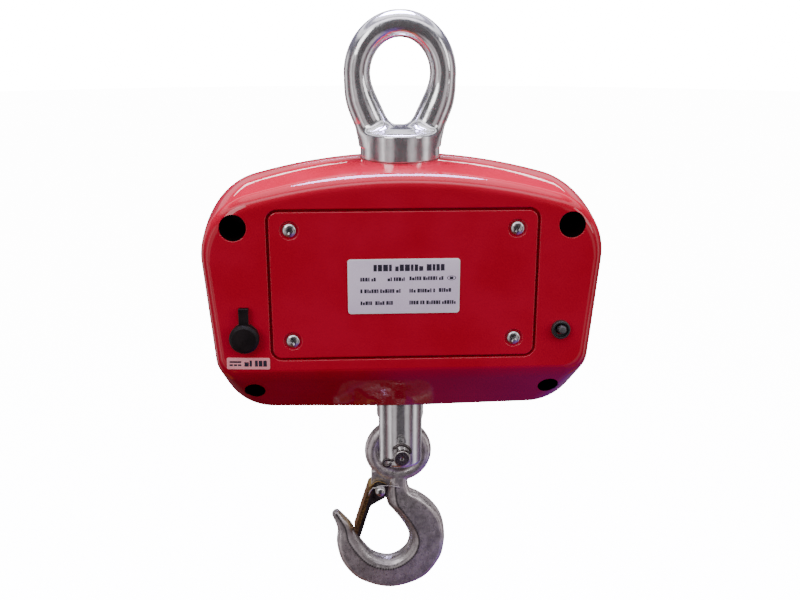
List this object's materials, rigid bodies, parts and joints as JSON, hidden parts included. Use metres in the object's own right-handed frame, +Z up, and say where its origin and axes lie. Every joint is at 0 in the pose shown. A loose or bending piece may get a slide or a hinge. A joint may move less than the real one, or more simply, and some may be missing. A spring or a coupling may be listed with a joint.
{
  "type": "crane scale",
  "caption": "Hanging crane scale: lifting eye on a two-shell painted housing with a battery cover, load cell inside, and a swivelling forged hook with a sprung safety latch.",
  "frame": {"origin": "where a crane's hook bears on the underside of the lifting eye's top", "axes": "+Z up along the load line; the rear face with the battery cover looks towards -Y and the display towards +Y; +X is to the right seen from the rear"},
  "size_m": [0.2608, 0.1102, 0.424],
  "materials": {
    "paint": "gloss",
    "chrome": "polished",
    "forged": "satin",
    "steel": "satin",
    "aluminium": "satin",
    "zinc": "satin",
    "wire": "satin",
    "rubber": "matte",
    "plastic": "matte",
    "label": "satin",
    "sticker": "satin",
    "window": "gloss",
    "board": "satin",
    "digit": "satin",
    "wrap": "satin",
    "key": "matte"
  },
  "bodies": {
    "housing": {"rear_shell": "paint", "front_shell": "paint", "shell_gasket_left": "rubber", "shell_gasket_right": "rubber", "case_screw_1": "steel", "case_screw_2": "steel", "case_screw_3": "steel", "case_screw_4": "steel", "bottom_seal": "rubber", "battery_cover": "paint", "cover_gasket": "rubber", "cover_screw_1": "steel", "cover_screw_2": "steel", "cover_screw_3": "steel", "cover_screw_4": "steel", "nameplate": "label", "charging_sticker": "sticker", "battery_tray": "plastic", "battery_pack": "wrap", "charging_socket": "plastic", "charging_socket_nut": "steel", "power_switch_case": "plastic", "power_switch_ring": "rubber", "display_window": "window", "display_board": "board", "main_board": "board", "led_digit_1": "digit", "led_digit_2": "digit", "led_digit_3": "digit", "led_digit_4": "digit", "led_digit_5": "digit", "board_standoff_1": "steel", "board_standoff_2": "steel", "board_standoff_3": "steel", "board_standoff_4": "steel", "keypad_mat": "rubber", "lifting_eye": "chrome", "top_seal": "rubber", "load_cell": "aluminium", "bearing_yoke": "steel", "yoke_stud": "steel", "bearing_race_lower": "steel", "bearing_cage": "steel"},
    "swivel": {"swivel_clevis": "chrome", "bearing_race_upper": "steel", "stem_nut": "steel", "hook_pin": "chrome", "cotter_pin": "wire"},
    "hook_body": {"hook": "forged", "latch_rivet": "steel", "latch_spring": "steel"},
    "latch_body": {"safety_latch": "zinc"},
    "charging_cap_body": {"charging_cap": "rubber"},
    "switch_lever_body": {"power_switch_lever": "key"},
    "button_1_body": {"button_1": "key"},
    "button_2_body": {"button_2": "key"},
    "button_3_body": {"button_3": "key"}
  },
  "joints": [
    {"name": "hook_swivel", "type": "hinge", "parent": "housing", "child": "swivel", "pos_m": [0, 0, -0.2382], "axis": [0, 0, 1], "continuous": true},
    {"name": "hook_swing", "type": "hinge", "parent": "swivel", "child": "hook_body", "pos_m": [0, 0, -0.2862], "axis": [0, 1, 0], "range_deg": [-60, 60]},
    {"name": "latch_open", "type": "hinge", "parent": "hook_body", "child": "latch_body", "pos_m": [-0.015, 0, -0.3216], "axis": [0, -1, 0], "range_deg": [0, 35], "stiffness_Nm_per_rad": 0.06, "springref_deg": -34.38, "deforming": ["latch_spring"]},
    {"name": "charging_cap_hinge", "type": "hinge", "parent": "housing", "child": "charging_cap_body", "pos_m": [-0.103, -0.052, -0.1656], "axis": [-1, 0, 0], "range_deg": [0, 100], "stiffness_Nm_per_rad": 0.004},
    {"name": "power_switch_toggle", "type": "hinge", "parent": "housing", "child": "switch_lever_body", "pos_m": [0.103, -0.0498, -0.1836], "axis": [1, 0, 0], "range_deg": [0, 24]},
    {"name": "button_1_press", "type": "slide", "parent": "housing", "child": "button_1_body", "axis": [0, -1, 0], "range_m": [0, 0.0015], "stiffness_N_per_m": 900},
    {"name": "button_2_press", "type": "slide", "parent": "housing", "child": "button_2_body", "axis": [0, -1, 0], "range_m": [0, 0.0015], "stiffness_N_per_m": 900},
    {"name": "button_3_press", "type": "slide", "parent": "housing", "child": "button_3_body", "axis": [0, -1, 0], "range_m": [0, 0.0015], "stiffness_N_per_m": 900}
  ]
}
